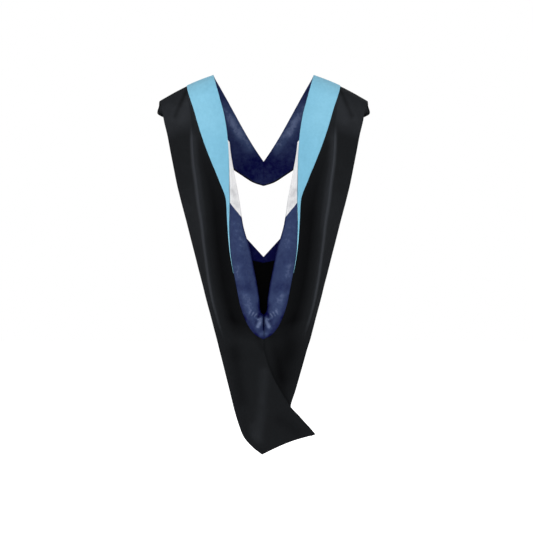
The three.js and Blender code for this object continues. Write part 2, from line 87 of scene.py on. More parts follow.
# Trim, turned-out lining, facing and folds.
TRIM_WIDTH = 72.0
PIPING_WIDTH = 12.0  # trim narrower than this turns into a piping
ROLL_STAND = 9.0  # how far the turned-out lining stands off the shell
ROLL_SINK = 9.0  # how far it curls in behind the opening's edge
ROLL_FULL = 40.0  # turned-out lining this wide or wider stands off and sinks fully
ROLL_LEAST = 0.8  # least width of the turned-out lining, where it begins
SINK_FADE = 30.0  # behind the opening's edge the lining comes back to the shell over about this distance
CHEVRON_HEIGHT = 150.0  # chevron measured down the neckline
CHEVRON_TOP = 165.0  # where the chevron starts on the neckline
CHEVRON_SLOPE = 1.2  # drop of the chevron for each millimetre across the lining
FACING_WIDTH = 50.0  # navy facing beside the notch, across
FACING_DROP = 14.0  # facing below the point of the notch
HEM_RETURN = 0.5  # shell turned in at the yoke's edge
YOKE_FOLD = 1.0  # radius of that turn
BACK_FOLD = 7.0  # radius of the bag's outer folds
CREASE_HEIGHT = 7.0  # long crease standing off the back of each side
RIDGE_HEIGHT = 1.6  # ridge pressed into the crest of that crease
RIDGE_WIDTH = 2.8  # half width of that ridge
GLOW_WIDTH = 24.0  # half width of the lighter cloth beside it
HOLLOW_DEPTH = 4.0  # hollow between that crease and the trim
UNDERLAP = 12.0  # shell of the right side behind the edge of the left side
UNDER_INSET = 1.0  # right side's fold behind the left side's edge, at the tail
HEM_BOW = 5.0  # how far the tail's hem curves up

MM = 0.001
SHARP_DEGREES = 55  # edges bent more than this are shown sharp
WAVE_TEXTURE_PERIOD = 0.314  # a wave texture's period at scale 1, about a tenth of pi


def table(names, rows):
    """The columns of a table by name, one array each."""
    return dict(zip(names.split(), np.array(rows, float).T))


YOKE = table("neckX neckDrop neckY edgeX edgeDrop edgeY bare", [
    [0.0, 1.0, 1.0, 0.0, 1.0, 0.95, 0.06],
    [0.066, 0.947, 0.98, 0.091, 0.972, 0.92, 0.06],
    [0.164, 0.861, 0.94, 0.228, 0.889, 0.83, 0.08],
    [0.304, 0.727, 0.875, 0.399, 0.772, 0.75, 0.1],
    [0.451, 0.575, 0.79, 0.57, 0.652, 0.69, 0.2],
    [0.615, 0.397, 0.7, 0.741, 0.532, 0.64, 0.45],
    [0.779, 0.221, 0.58, 0.893, 0.39, 0.55, 0.85],
    [0.902, 0.096, 0.44, 1.0, 0.328, 0.37, 1.0],
    [0.975, 0.026, 0.25, 0.98, 0.275, 0.17, 1.0],
])

BACK = table("neckX neckDrop edgeX edgeDrop depth wrap trim rollX rollDrop", [
    [1.0, 0.0, 1.0, 0.0, 0.0, 0.0, 1.0, 0, 0],
    [0.98, 0.016, 0.961, 0.016, 0.34, 0.1, 1.0, 0, 0],
    [0.93, 0.05, 0.926, 0.047, 0.54, 0.3, 0.982, 0, 0],
    [0.857, 0.101, 0.902, 0.086, 0.65, 0.6, 0.945, 0, 0],
    [0.772, 0.163, 0.846, 0.148, 0.78, 0.85, 0.924, 0, 0],
    [0.713, 0.233, 0.799, 0.213, 0.89, 1.0, 0.824, 0.702, 0.257],
    [0.681, 0.311, 0.743, 0.286, 0.96, 1.0, 0.63, 0.643, 0.342],
    [0.672, 0.397, 0.684, 0.358, 0.99, 0.95, 0.355, 0.561, 0.436],
    [0.664, 0.485, 0.61, 0.432, 1.0, 0.85, 0.11, 0.474, 0.534],
    [0.672, 0.572, 0.523, 0.512, 1.0, 0.7, 0.054, 0.405, 0.63],
    [0.655, 0.662, 0.432, 0.599, 1.0, 0.55, 0.018, 0.262, 0.736],
    [0.606, 0.731, 0.374, 0.65, 1.0, 0.4, 0.011, 0.197, 0.805],
    [0.538, 0.801, 0.306, 0.715, 1.0, 0.3, 0.025, 0.126, 0.88],
    [0.471, 0.865, 0.242, 0.773, 0.995, 0.2, 0.02, 0.086, 0.938],
    [0.377, 0.919, 0.183, 0.83, 0.99, 0.12, 0.02, 0.078, 0.969],
    [0.27, 0.958, 0.106, 0.9, 0.99, 0.06, 0.02, 0.06, 0.985],
    [0.148, 0.984, 0.048, 0.955, 0.98, 0.02, 0.02, 0.034, 0.995],
    [0.0, 1.0, 0.0, 1.0, 0.98, 0.0, 0.02, 0.0, 1.0],
])
BACK_FORM = table("fold crease relief inner innerDrop lower tuck puff", [
    [0.29, 0.9, 0.0, 0.01, 0.14, 0, 0, 1.0],
    [0.29, 0.9, 0.05, 0.01, 0.163, 0, 0, 1.0],
    [0.36, 0.9, 0.15, 0.015, 0.208, 0, 0, 1.0],
    [0.5, 0.86, 0.4, 0.03, 0.263, 0, 0, 1.0],
    [0.71, 0.772, 0.7, 0.075, 0.353, 0, 0, 1.0],
    [0.86, 0.628, 0.9, 0.145, 0.446, 0, 0, 1.0],
    [1.0, 0.5, 1.0, 0.24, 0.551, 0, 0, 1.0],
    [1.0, 0.418, 1.0, 0.36, 0.654, 0, 0, 1.0],
    [1.0, 0.338, 1.0, 0.507, 0.761, 0, 0, 1.0],
    [1.0, 0.328, 1.0, 0.713, 0.868, 0, 0, 1.0],
    [1.0, 0.28, 1.0, 1.0, 1.0, 0, 0, 1.0],
    [1.0, 0.242, 1.0, 1.0, 1.0, 0.17, 0, 1.0],
    [1.0, 0.192, 1.0, 1.0, 1.0, 0.385, 0, 1.1],
    [1.0, 0.152, 0.8, 1.0, 1.0, 0.58, 0, 1.0],
    [1.0, 0.12, 0.6, 1.0, 1.0, 0.75, 0.2, 0.7],
    [1.0, 0.1, 0.4, 1.0, 1.0, 0.862, 0.4, 1.25],
    [1.0, 0.1, 0.3, 1.0, 1.0, 0.94, 0.55, 1.35],
    [1.0, 0.1, 0.2, 1.0, 1.0, 1.0, 0.7, 0.35],
])
BACK |= BACK_FORM

TAIL = table("leftX leftDrop crossX crossDrop rightX rightDrop depth fold tuck edgeTuck bow belly", [
    [0.951, 0.083, 0.004, 0.08, 0.935, 0.083, 0.975, 1.0, 1.0, 0.0, 0.0, 0.9],
    [0.896, 0.17, 0.056, 0.17, 0.875, 0.17, 0.97, 0.97, 1.0, 0.0, 0.0, 0.75],
    [0.813, 0.304, 0.162, 0.304, 0.78, 0.304, 0.965, 0.93, 1.0, 0.0, 0.0, 0.55],
    [0.721, 0.452, 0.308, 0.43, 0.684, 0.441, 0.96, 0.86, 1.0, 0.3, 0.1, 0.36],
    [0.618, 0.622, 0.525, 0.586, 0, 0, 0.955, 0.79, 0.9, 0.9, 0.3, 0.2],
    [0.528, 0.741, 0.664, 0.655, 0, 0, 0.95, 0.71, 0.8, 0.8, 0.55, 0.1],
    [0.427, 0.843, 0.798, 0.722, 0, 0, 0.945, 0.64, 0.7, 0.7, 0.8, 0.05],
    [0.222, 0.939, 0.917, 0.781, 0, 0, 0.94, 0.57, 0.6, 0.6, 0.95, 0.02],
    [0.029, 1.0, 1.0, 0.826, 0, 0, 0.935, 0.5, 0.55, 0.55, 1.0, 0.0],
])

# Rows that the tables share, and columns of each row from the neckline outwards.
FIRST_BACK = len(YOKE["neckX"])
LAST_BACK = FIRST_BACK + len(BACK["neckX"]) - 1
FIRST_ROLL = FIRST_BACK + int(np.argmax(BACK["rollX"] > 0))
NOTCH_ROW = FIRST_BACK + int(np.argmax(BACK["innerDrop"] == 1))
LAST_TRIM = FIRST_BACK + int(np.argmin(BACK["trim"]))
TRIM_EDGE, CREASE, LINING_END, EDGE = 3, 6, 8, 9
UNDER_TRIM = slice(0, TRIM_EDGE + 1)
FOLD_STEPS, INNER_STEPS, ROLL_POINTS = 4, 4, 6
LIP, CURL_MIDDLE = 2, 4  # columns of the turned-out lining

# Shares of the sizes above that hold for whole groups of rows or columns.
YOKE_CREASE = 0.9
YOKE_ARCH = 0.8
TAIL_CREASE = 0.1
TAIL_TRIM = 0.02
ARCH_ROWS = 4  # rows of the back over which the arch of the crest dies out
LAG_ROWS = 4  # rows over which the lining's slack grows
BARE_ROWS = 3  # rows over which the width without lining closes
BELLY_START = 0.2  # share of the inner layer's width at which the bag's belly starts
TRIM_MOST = 0.97  # share of a row's width that the trim may take
TO_CREASE = (0.45, 0.8, 1)  # columns between the trim and the crease
RELIEF = np.array([0, 0, -0.1, -0.5, -1, -0.2, 1, 0.1, 0, 0])  # hollow and crease at each column
PLAIN_LEAST = 0.3  # share of the inner layer that is left beside the facing
EXTRA_SINK = 0.7  # how much of the curl's sink goes on behind the opening's edge
SETBACK_MOST = 0.3  # share of the turned-out width that the setback may take
HALFWAY = 0.5  # the turned-out lining's middle, and how high its lip stands
CURL = (0.25, 0.5, 0.75)  # points of the curl, as shares of its half circle
BEHIND_CURL = (1.1, 1.15)  # where the lining lies across behind the curl, as shares of the curl's reach
BEHIND_SLOPE = 0.5  # distance across that it gains there for each millimetre along the shell

# Fine grids: steps between the rows and columns above, and rows of the pieces of lining.
SHELL_STEPS = (7, 8)
TRIM_STEPS = (8, 14)
LINING_STEPS = (10, 8)
FACING_STEPS = (10, 20)
YOKE_ROWS, CHEVRON_ROWS, COWL_ROWS = 150, 60, 170

# The piping's end: its last two rows, and the fine rows over which its wall thins.
LAST_ROW_REACH = 0.3
LAST_ROWS_NARROWED = (0.4, 0.8)
ENDING_ROWS = 28
ENDING_WALL = 0.3
RIM_SHARE = 0.06  # share of the trim's width over which its wall thins at both edges
RIM_WALL = 0.45  # share of the wall that is left at the rim itself

# Plane waves that make cloth uneven: how many at once, the spread of their lengths, and each one's weight,
# length and seed.
WAVE_COUNT = 6
WAVE_SPREAD = (0.6, 1.6)
SHELL_WAVES = ((0.55, 70.0, 3), (0.25, 28.0, 5))
LINING_WAVES = ((0.7, 30.0, 11), (0.4, 12.0, 12))

# Tone: how light each cloth is, from nought to one. The yoke and the facing are the same navy satin as the
# turned-out lining, set darker as painted shade because they lie in shade. The black cloth gets painted shade
# in its hollow, a painted highlight on its ridge and painted light beside it.
TRIM_TONE, YOKE_SHADED_TONE, CHEVRON_TONE, COWL_TONE, FACING_SHADED_TONE, BACKING_TONE = 0.5, 0.18, 0.5, 0.38, 0.0, 0.5
# Painted shade in the hollow beside the long crease, a painted highlight on its ridge and painted light
# beside that ridge.
HOLLOW_PAINTED_SHADE, RIDGE_PAINTED_HIGHLIGHT, GLOW_PAINTED_LIGHT = 0.44, 0.34, 0.3
# Plain tone of the black cloth by height, with painted light: lighter over the shoulder's top, where light
# falls on it.
SHELL_TONE_WITH_PAINTED_LIGHT = table(
    "height tone", [[-680, 0.46], [-600, 0.54], [-330, 0.55], [-250, 0.5], [-150, 0.5], [-115, 0.64]]
)
# Where that painted shade and painted light are at full strength, by column and by height. The ridge's table
# serves both its pressed height and its painted highlight.
HOLLOW_PAINTED_SHADE_BY_COLUMN = table(
    "column share", [[TRIM_EDGE, 0.7], [TRIM_EDGE + 1, 1], [TRIM_EDGE + 2, 0.3], [CREASE, 0]]
)
HOLLOW_PAINTED_SHADE_BY_HEIGHT = table("height share", [[-650, 0], [-580, 1], [-340, 1], [-180, 0.3], [-140, 0]])
RIDGE_BY_HEIGHT = table("height share", [[-650, 0], [-530, 1], [-160, 1], [-128, 0]])
PAINTED_GLOW_BY_HEIGHT = table("height share", [[-400, 0.35], [-300, 0.8], [-200, 1]])

# Soft strokes across the back view. Each has its two ends, half width and value: a height in millimetres for
# the folds and dents, and a step in tone for the marks, negative where the cloth is dented or darker. The
# marks are painted light and shade: painted highlights on folds and on puffs of satin, painted shade in
# dents, creases and at the opening's edges, and painted shadow where one side lies over the other.
STROKE = "x0 z0 x1 z1 width value"
PANEL_FOLDS = table(STROKE, [
    [-196, -62, -216, -116, 8, -3.0],
    [-214, -78, -224, -112, 8, 1.6],
    [-186, -90, -190, -126, 9, 1.5],
    [-206, -150, -168, -330, 16, 1.2],
    [-128, -330, -96, -520, 16, -1.6],
    [-150, -480, -112, -640, 9, 1.0],
    [-84, -560, -66, -690, 14, 1.4],
])
LEFT_TAIL_FOLDS = table(STROKE, [
    [-60, -650, -48, -760, 12, -1.6],
    [-26, -690, -2, -880, 15, 3.0],
    [22, -760, 34, -850, 12, 1.4],
    [-42, -820, -38, -885, 7, -2.2],
    [72, -838, 84, -868, 7, -1.8],
    [50, -790, 60, -858, 8, 1.2],
])
RIGHT_TAIL_FOLDS = table(STROKE, [
    [-60, -640, -46, -760, 14, -2.0],
    [-92, -660, -76, -770, 10, 1.4],
])
COWL_FOLDS = table(STROKE, [
    [-5, -594, -12, -610, 5.8, 3.6],
    [-10, -606, -14, -613, 6.0, 1.4],
    [0, -590, 0, -618, 1.8, -2.0],
    [-15.5, -580, -21, -589, 1.8, 1.2],
    [-21, -589, -11, -594, 1.8, 1.0],
    [-12, -593, -8, -591, 1.8, 0.5],
    [-23, -577, -27, -584, 1.7, 0.8],
    [-12, -582, -13, -588, 2.6, -1.4],
    [-17, -598, -21, -610, 3.4, -1.6],
    [-9, -631, 0, -625, 3.0, 1.8],
    [-32, -536, -46, -560, 8, 1.2],
    [-54, -406, -62, -484, 10, 1.2],
])
# Painted light and shade of the black panels' folds: a painted shade streak and painted highlights at the
# shoulder, painted shade beside the turned-out lining.
PANEL_PAINTED_LIGHT_AND_SHADE = table(STROKE, [
    [-188, -44, -214, -104, 5, -0.16],
    [-178, -60, -196, -112, 14, 0.1],
    [-206, -84, -222, -112, 8, 0.06],
    [-84, -600, -70, -680, 20, -0.08],
    [-150, -520, -128, -600, 9, 0.08],
])
# Painted light and shade of the left tail's folds: a lighter streak on a fold and painted shade in its dents.
LEFT_TAIL_PAINTED_LIGHT_AND_SHADE = table(STROKE, [
    [-70, -668, -52, -790, 14, -0.14],
    [2, -720, -12, -880, 15, 0.12],
    [-27, -850, -24, -872, 11, 0.07],
    [40, -834, 78, -864, 14, -0.12],
    [-14, -638, -2, -664, 6, -0.16],
    [-100, -690, -80, -770, 7, 0.1],
])
# Painted shadow on the right tail, where the left side lies over it.
RIGHT_TAIL_PAINTED_SHADOW = table(STROKE, [
    [-56, -655, -46, -730, 30, -0.28],
    [-20, -640, -52, -780, 12, -0.12],
])
# Painted highlight over the shoulder's crest, where the velvet turns away from the light, painted shade lower
# down the trim, and a lighter line along the piping.
TRIM_PAINTED_LIGHT_AND_SHADE = table(STROKE, [
    [-166, -10, -146, -108, 46, 0.27],
    [-124, 0, -190, -26, 16, 0.4],
    [-84, -400, -78, -480, 8, 0.5],
    [-96, -170, -92, -330, 16, -0.14],
    [-124, -220, -98, -330, 14, -0.1],
])
# Painted highlights on the satin's puffs and gathers, and painted shade in the pinch between them, along the
# lining's edges and at its bottom.
COWL_PAINTED_LIGHT_AND_SHADE = table(STROKE, [
    [-62, -368, -52, -420, 14, 0.12],
    [-62, -468, -58, -490, 9, 0.15],
    [-70, -516, -36, -518, 11, -0.14],
    [-44, -540, -24, -574, 15, 0.16],
    [0, -600, 0, -650, 28, -0.14],
    [-4.5, -593, -13, -610, 6.4, 0.46],
    [0, -592, 0, -619, 1.6, -0.4],
    [-16, -580, -21, -587, 1.7, 0.26],
    [-20.5, -589.5, -13.5, -594, 1.8, 0.26],
    [-12.5, -593.5, -6, -591, 1.8, 0.2],
    [-23, -577, -28, -585, 1.6, 0.2],
    [-30, -572, -34, -581, 1.6, 0.14],
    [-11, -581, -12, -588, 3.0, -0.3],
    [-17, -599, -20, -610, 3.4, -0.14],
    [-6, -629, 0, -627, 5, 0.3],
    [-12, -560, 0, -590, 7, -0.34],
    [-60, -540, -46, -591, 7, -0.2],
    [-46, -591, -18, -633, 7, -0.24],
    [-18, -635, 0, -643, 6, -0.2],
])
# Greyer marks and a lighter one on the white satin: painted shade and painted light of its crinkles.
CHEVRON_PAINTED_SHADE = table(STROKE, [
    [-76, -286, -70, -296, 6, -0.3],
    [-72, -312, -64, -322, 6, -0.2],
    [-68, -240, -64, -270, 7, 0.1],
    [-62, -262, -66, -276, 4, -0.16],
])
# Painted sheen along the upper band of the yoke's satin, painted shade towards its bottom, and a faint darker
# line down the centre seam.
YOKE_PAINTED_SHEEN_AND_SHADE = table(STROKE, [
    [-98, -74, -34, -168, 16, 0.37],
    [-84, -104, -66, -140, 12, 0.15],
    [0, -200, -70, -246, 34, -0.14],
    [0, -200, 0, -262, 2.4, -0.06],
])


def unit(vectors):
    """Each vector divided by its length."""
    return vectors / np.maximum(np.linalg.norm(vectors, axis=-1, keepdims=True), 1e-9)


def xyz(x, y, z):
    """Three arrays as one array of points."""
    return np.stack(np.broadcast_arrays(x, y, z), axis=-1).astype(float)


def flipped(grid):
    """The grid with its rows and columns exchanged."""
    return np.swapaxes(grid, 0, 1)


def spans(grid):
    """From each row's neighbour on one side to the one on the other, or to the row itself at the ends."""
    return np.concatenate([grid[1:2] - grid[:1], grid[2:] - grid[:-2], grid[-1:] - grid[-2:-1]])


def normals_of(grid, centred=False):
    """Cross product of the steps across and along the grid, each step spanning both neighbours. The first row
    of a centred grid lies on the centre line, so its normals don't lean to either side."""
    normal = np.cross(flipped(spans(flipped(grid))), spans(grid))
    if centred:
        normal[0, :, 0] = 0
    return unit(normal)


def smoothed(values, stations):
    """Cubic through the rows of values: between two rows the Hermite curve whose end slopes are the harmonic
    mean of the differences on both sides, or nought where they change sign, so that it never overshoots."""
    steps = np.diff(values, axis=0)
    product = steps[:-1] * steps[1:]
    total = np.where(product > 0, steps[:-1] + steps[1:], 1)
    slopes = np.concatenate([steps[:1], np.where(product > 0, 2 * product / total, 0), steps[-1:]])
    i = np.clip(np.floor(stations).astype(int), 0, len(values) - 2)
    t = (stations - i).reshape((-1,) + (1,) * (values.ndim - 1))
    from_first = (1 + 2 * t) * (1 - t) ** 2 * values[i] + t * (1 - t) ** 2 * slopes[i]
    return from_first + t * t * (3 - 2 * t) * values[i + 1] - t * t * (1 - t) * slopes[i + 1]


def straight(values, stations):
    """Straight lines between neighbouring rows of values."""
    i = np.clip(np.floor(stations).astype(int), 0, len(values) - 2)
    t = (stations - i).reshape((-1,) + (1,) * (values.ndim - 1))
    return (1 - t) * values[i] + t * values[i + 1]


def finer(grid, steps):
    """Smooth curves through the rows of the grid, in that many steps from each row to the next."""
    return smoothed(grid, np.linspace(0, len(grid) - 1, (len(grid) - 1) * steps + 1))


def refined(grid, row_steps, column_steps):
    """The grid with smooth curves through its rows and then through its columns."""
    return flipped(finer(flipped(finer(grid, row_steps)), column_steps))


def sampled(grid, stations):
    """Each column of the grid at its own stations: straight lines between neighbouring rows."""
    i = np.clip(np.floor(stations).astype(int), 0, len(grid) - 2)
    share = (stations - i)[..., None]
    below = np.take_along_axis(grid, i[..., None], axis=0)
    above = np.take_along_axis(grid, i[..., None] + 1, axis=0)
    return below * (1 - share) + above * share


def looked_up(rows, at):
    """The second column of a table at values of its first: straight lines between the rows."""
    return np.interp(at, *rows.values())


def strokes(points, *tables):
    """Sum of soft strokes: value times exp(-(off/width)^2), off being the distance in the back view from a
    line."""
    total = np.zeros(points.shape[:-1])
    for rows in tables:
        for x0, z0, x1, z1, width, value in zip(*rows.values()):
            line = np.array([x1 - x0, z1 - z0])
            offset = points[..., [0, 2]] - np.array([x0, z0])
            share = np.clip(offset @ line / (line @ line), 0, 1)
            off = np.linalg.norm(offset - share[..., None] * line, axis=-1)
            total += value * np.exp(-((off / width) ** 2))
    return total


def waves(points, rows):
    """Soft unevenness: for each row its weight times the mean of plane waves about as long as it says, with
    directions and phases from its seed."""
    total = 0
    for weight, scale, seed in rows:
        random = np.random.default_rng(seed)
        directions = unit(random.normal(size=(WAVE_COUNT, 3)))
        scales = scale * random.uniform(*WAVE_SPREAD, size=(WAVE_COUNT, 1))
        phases = random.uniform(0, 2 * np.pi, WAVE_COUNT)
        angles = points @ (directions * 2 * np.pi / scales).T + phases
        total = total + weight * np.mean(np.sin(angles), axis=-1)
    return total


def yoke_sections():
    """Each row of the front yoke, from the centre front to the crest: every size times its share in the
    table."""
    zero, one = np.zeros(FIRST_BACK), np.ones(FIRST_BACK)
    nowhere = xyz(zero, zero, zero)
    return {
        "neck": xyz(
            -NECK_HALF_SPAN * YOKE["neckX"],
            FRONT_DEPTH * YOKE["neckY"],
            -FRONT_DIP * YOKE["neckDrop"],
        ),
        "edge": xyz(
            -YOKE_HALF_SPAN * YOKE["edgeX"],
            FRONT_DEPTH * YOKE["edgeY"],
            -BAND_BOTTOM * YOKE["edgeDrop"],
        ),
        "trim": TRIM_WIDTH * one,
        "fold": YOKE_FOLD * one,
        "crease": YOKE_CREASE * one,
        "relief": zero,
        "wrap": zero,
        "bow": zero,
        "hem": zero,
        "arch": YOKE_ARCH * YOKE["neckX"] ** 4,
        "tuck": zero,
        "edge_tuck": zero,
        "lag": zero,
        "puff": one,
        "bare": BARE_WIDTH * YOKE["bare"],
        "inner": nowhere,
        "roll": nowhere,
    }


def back_sections(side):
    """Each row of the back, from the crest to the bottom of the turned-out lining: every size times its share
    in the table, with the inner layer carried forward round the shoulder like the outer one."""
    number = np.arange(len(BACK["depth"]))
    zero = np.zeros(len(number))
    y = -BACK_DEPTH * BACK["depth"]
    edge_x = COWL_HALF_SPAN + (SHOULDER_HALF_SPAN - COWL_HALF_SPAN) * BACK["edgeX"]
    belly = np.maximum(0, (BACK["inner"] - BELLY_START) / (1 - BELLY_START))
    wrap = WRAP_DEPTH * BACK["wrap"]
    return {
        "neck": xyz(-NECK_HALF_SPAN * BACK["neckX"], y, -COWL_DEPTH * BACK["neckDrop"]),
        "edge": xyz(-edge_x, y, -SHOULDER_DROP - (COWL_DEPTH - SHOULDER_DROP) * BACK["edgeDrop"]),
        "trim": TRIM_WIDTH * BACK["trim"],
        "fold": BACK_FOLD * BACK["fold"],
        "crease": BACK["crease"],
        "relief": BACK["relief"],
        "wrap": wrap,
        "bow": zero,
        "hem": zero,
        "arch": np.maximum(0, 1 - number / ARCH_ROWS) ** 2,
        "tuck": TUCK_DEPTH * BACK["tuck"] * (side == "right"),
        "edge_tuck": zero,
        "lag": LINING_LAG * np.minimum(1, number / LAG_ROWS),
        "puff": BACK["puff"],
        "bare": BARE_WIDTH * np.maximum(0, 1 - number / BARE_ROWS),
        "inner": xyz(
            -edge_x * (1 - BACK["inner"]),
            BAG_BELLY * belly - wrap * (1 - (1 - BACK["inner"]) ** 2),
            -NOTCH_DEPTH * BACK["innerDrop"] - (COWL_DEPTH - NOTCH_DEPTH) * BACK["lower"],
        ),
        "roll": xyz(-NECK_HALF_SPAN * BACK["rollX"], y, -OPENING_DEPTH * BACK["rollDrop"]),
    }


def tail_sections(side):
    """Each row of the tail, where the left side crosses the centre line over the right side: every size times
    its share in the table, with the right side's edge a set distance inside the left side's."""
    y = -BACK_DEPTH * TAIL["depth"]
    zero, one = np.zeros(len(y)), np.ones(len(y))
    left_drop, cross_drop, right_drop = (
        -COWL_DEPTH - TAIL_LENGTH * TAIL[name] for name in ("leftDrop", "crossDrop", "rightDrop")
    )
    left = xyz(-COWL_HALF_SPAN * TAIL["leftX"], y, left_drop)
    cross = xyz(TAIL_REACH * TAIL["crossX"], y, cross_drop)
    inwards = unit(left - cross)
    open_right = xyz(COWL_HALF_SPAN * TAIL["rightX"], y, right_drop)
    right = np.where(TAIL["rightX"][:, None] > 0, open_right, cross + UNDER_INSET * inwards)
    middle = (left + right) / 2
    shift = BAG_BELLY * TAIL["belly"]
    tail = {
        "trim": TAIL_TRIM * TRIM_WIDTH * one,
        "crease": TAIL_CREASE * one,
        "relief": zero,
        "wrap": zero,
        "arch": zero,
        "lag": LINING_LAG * one,
        "puff": one,
        "bare": zero,
        "roll": xyz(zero, zero, zero),
        "hem": HEM_BOW * TAIL["bow"],
    }
    if side == "left":
        return tail | {
            "neck": cross,
            "edge": left,
            "fold": BACK_FOLD * TAIL["fold"],
            "tuck": zero,
            "edge_tuck": zero,
            "bow": tail["hem"],
            "inner": xyz(middle[:, 0], shift, middle[:, 2]),
        }
    mirror = np.array([-1, 1, 1])
    edge_tuck = TUCK_DEPTH * TAIL["edgeTuck"]
    return tail | {
        "neck": (cross + UNDERLAP * inwards) * mirror,
        "edge": right * mirror,
        "fold": BACK_FOLD * TAIL["fold"] - edge_tuck / 2,
        "tuck": TUCK_DEPTH * TAIL["tuck"],
        "edge_tuck": edge_tuck,
        "bow": zero,
        "inner": xyz(-middle[:, 0], shift, middle[:, 2]),
    }


def sections(side):
    """Neckline point, outermost point and folds of each row, on the wearer's left, where x is negative."""
    yoke, back, tail = yoke_sections(), back_sections(side), tail_sections(side)
    return {name: np.concatenate([yoke[name], back[name], tail[name]]) for name in yoke}


def outer_layer(rows):
    """Straight line from the neckline to the fold in each row, raised by the long crease, lowered by the
    hollow beside it, carried forward round the shoulder by the square of the share, and arched by half a
    sine."""
    span = np.linalg.norm(rows["edge"] - rows["neck"], axis=-1)
    run = span - rows["fold"]
    trim = np.minimum(rows["trim"], TRIM_MOST * run)
    crest = trim + (1 - rows["crease"]) * (run - trim)
    lining_end = np.maximum(run - LINING_INSET - rows["bare"], (crest + run) / 2)
    to_trim = [0 * run, trim / 3, 2 * trim / 3, trim]
    to_crest = [trim + share * (crest - trim) for share in TO_CREASE]
    distance = np.stack([*to_trim, *to_crest, (crest + lining_end) / 2, lining_end, run], axis=-1)
    share = distance / run[:, None]
    heights = np.where(RELIEF > 0, CREASE_HEIGHT, HOLLOW_DEPTH) * RELIEF
    points = rows["neck"][:, None] + distance[..., None] * unit(rows["edge"] - rows["neck"])[:, None]
    tuck, edge_tuck = rows["tuck"][:, None], rows["edge_tuck"][:, None]
    points[..., 1] += rows["wrap"][:, None] * share ** 2 - rows["relief"][:, None] * heights
    points[..., 1] += tuck + (edge_tuck - tuck) * share
    points[..., 2] += (rows["arch"] * SHOULDER_BOW + rows["bow"])[:, None] * np.sin(np.pi * share)
    return points


def inner_layer(rows, outer, normals):
    """Half circle round the outer fold, then a line to the end of the layer against the wearer's back,
    straight but for the bow of the hem."""
    edge, normal, fold = outer[:, EDGE], normals[:, EDGE], rows["fold"][:, None]
    outwards = unit(edge - outer[:, LINING_END])
    centre = edge - fold * normal
    angles = np.pi * np.arange(1, FOLD_STEPS + 1) / FOLD_STEPS
    turned = [centre + fold * (np.cos(a) * normal + np.sin(a) * outwards) for a in angles]
    start = turned[-1]
    ends = rows["inner"] + [0, 1, 0] * start
    in_yoke = (np.arange(len(edge)) < FIRST_BACK)[:, None]
    ends = np.where(in_yoke, start - HEM_RETURN * outwards, ends)
    width = np.linalg.norm(ends - start, axis=-1, keepdims=True)
    plain = np.maximum(PLAIN_LEAST, 1 - FACING_WIDTH / width)
    lift = rows["hem"][:, None] * [0, 0, 1]
    across = [start + share * (ends - start) + np.sin(np.pi / 2 * share) * lift
              for share in (plain / 3, 2 * plain / 3, plain, 1)]
    return np.stack(turned + across, axis=1)


def lining_rows(rows, outer, normals):
    """Control points of the lining in each row, and how far each lies from the trim's seam across the cloth.
    The first seven stand off the shell, curl round the opening's edge and sink behind it; the rest lie under
    the shell."""
    depth = LINING_HEIGHT + rows["lag"]
    facing = normals[:, 0].copy()
    facing[LAST_BACK, 0] = 0
    to_roll = (rows["roll"] - rows["neck"]) * [1, 0, 1]
    rolled = np.arange(len(depth)) >= FIRST_ROLL
    width = np.where(rolled, np.linalg.norm(to_roll, axis=-1), 0)
    full = np.minimum(1, width / ROLL_FULL)
    sink = depth + (ROLL_SINK - depth) * full
    under = outer[:, : LINING_END + 1]
    from_neck = np.linalg.norm(under - outer[:, :1], axis=-1)
    mean_normal = unit(normals.sum(axis=1, keepdims=True))
    direction = np.where(rolled[:, None, None], mean_normal, normals[:, : LINING_END + 1])
    extra = EXTRA_SINK * (sink - depth)[:, None] * np.exp(-from_neck / SINK_FADE) * rolled[:, None]
    under = under - (depth[:, None] + extra)[..., None] * direction
    inwards = unit(to_roll)
    stand = ROLL_STAND * rows["puff"]
    lip = LINING_HEIGHT * (1 - full) * HALFWAY + HALFWAY * stand * full
    radius = (lip + sink) / 2
    reach = np.maximum(width - radius, ROLL_LEAST)
    setback = np.minimum(SEAM_SETBACK, SETBACK_MOST * reach)

    def at(distance, height):
        """The point that far inwards of the neckline and that high over the shell, in each row."""
        return outer[:, 0] + distance[:, None] * inwards + height[:, None] * facing

    front = [
        at(setback, LINING_HEIGHT + 0 * reach),
        at(HALFWAY * reach, LINING_HEIGHT + stand * full),
        at(reach, lip),
    ]
    curl = [
        at(reach + radius * np.sin(np.pi * share), (lip - sink) / 2 + radius * np.cos(np.pi * share))
        for share in CURL
    ]
    points = np.concatenate([np.stack([*front, *curl, at(reach, -sink)], axis=1), under], axis=1)
    far = np.where(rolled, reach + radius, 0)
    curl_start = reach + radius * np.sqrt(0.5)
    after_curl, under_start = BEHIND_CURL
    across = np.stack([0 * far, HALFWAY * reach, reach, curl_start, far, far, after_curl * far], axis=1)
    across = np.concatenate([across, under_start * far[:, None] + BEHIND_SLOPE * from_neck], axis=1)
    return points, across


def lengths(grid):
    """Distance walked along both directions of the grid, in millimetres: columns first, then rows."""
    across = np.linalg.norm(np.diff(grid, axis=1), axis=-1).cumsum(axis=1)
    along = np.linalg.norm(np.diff(grid, axis=0), axis=-1).cumsum(axis=0)
    return np.stack([np.pad(across, ((0, 0), (1, 0))), np.pad(along, ((1, 0), (0, 0)))], axis=-1)


